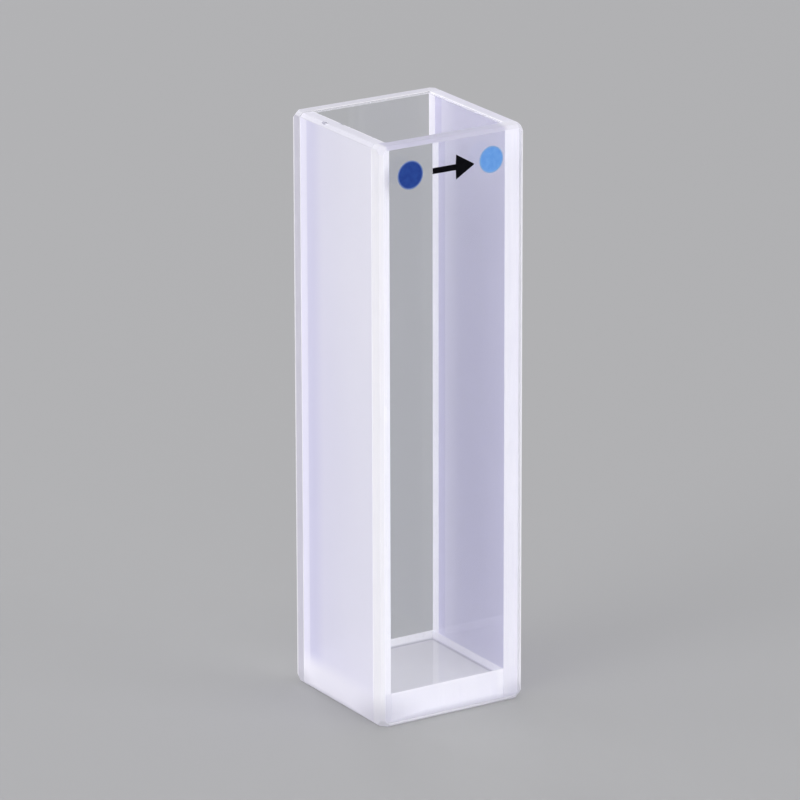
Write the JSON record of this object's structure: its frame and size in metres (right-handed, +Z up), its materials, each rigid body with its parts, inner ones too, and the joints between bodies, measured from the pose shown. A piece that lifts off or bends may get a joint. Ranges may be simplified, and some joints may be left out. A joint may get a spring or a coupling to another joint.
{
  "type": "cuvette",
  "caption": "Tall square glass cell, open at the top, with clear windows front and back, frosted side walls and a thick base, for holding a liquid sample in a light beam.",
  "frame": {"origin": "middle of the foot, on the surface that the cell stands on", "axes": "+Z up along the cell towards its open mouth; the light path runs along Y through the clear windows, with the printed window facing -Y; the frosted side walls face -X and +X"},
  "size_m": [0.0126, 0.0126, 0.045],
  "materials": {
    "window_glass": "polished on both faces, fine ground on its edges",
    "frosted_glass": "evenly ground outside, polished inside",
    "base_glass": "polished floor, ground foot and edges",
    "print_ink": "thin fired ink, printed on the front window, satin"
  },
  "bodies": {
    "root": {"front_window": "window_glass", "back_window": "window_glass", "left_wall": "frosted_glass", "right_wall": "frosted_glass", "base_plate": "base_glass"}
  },
  "joints": []
}
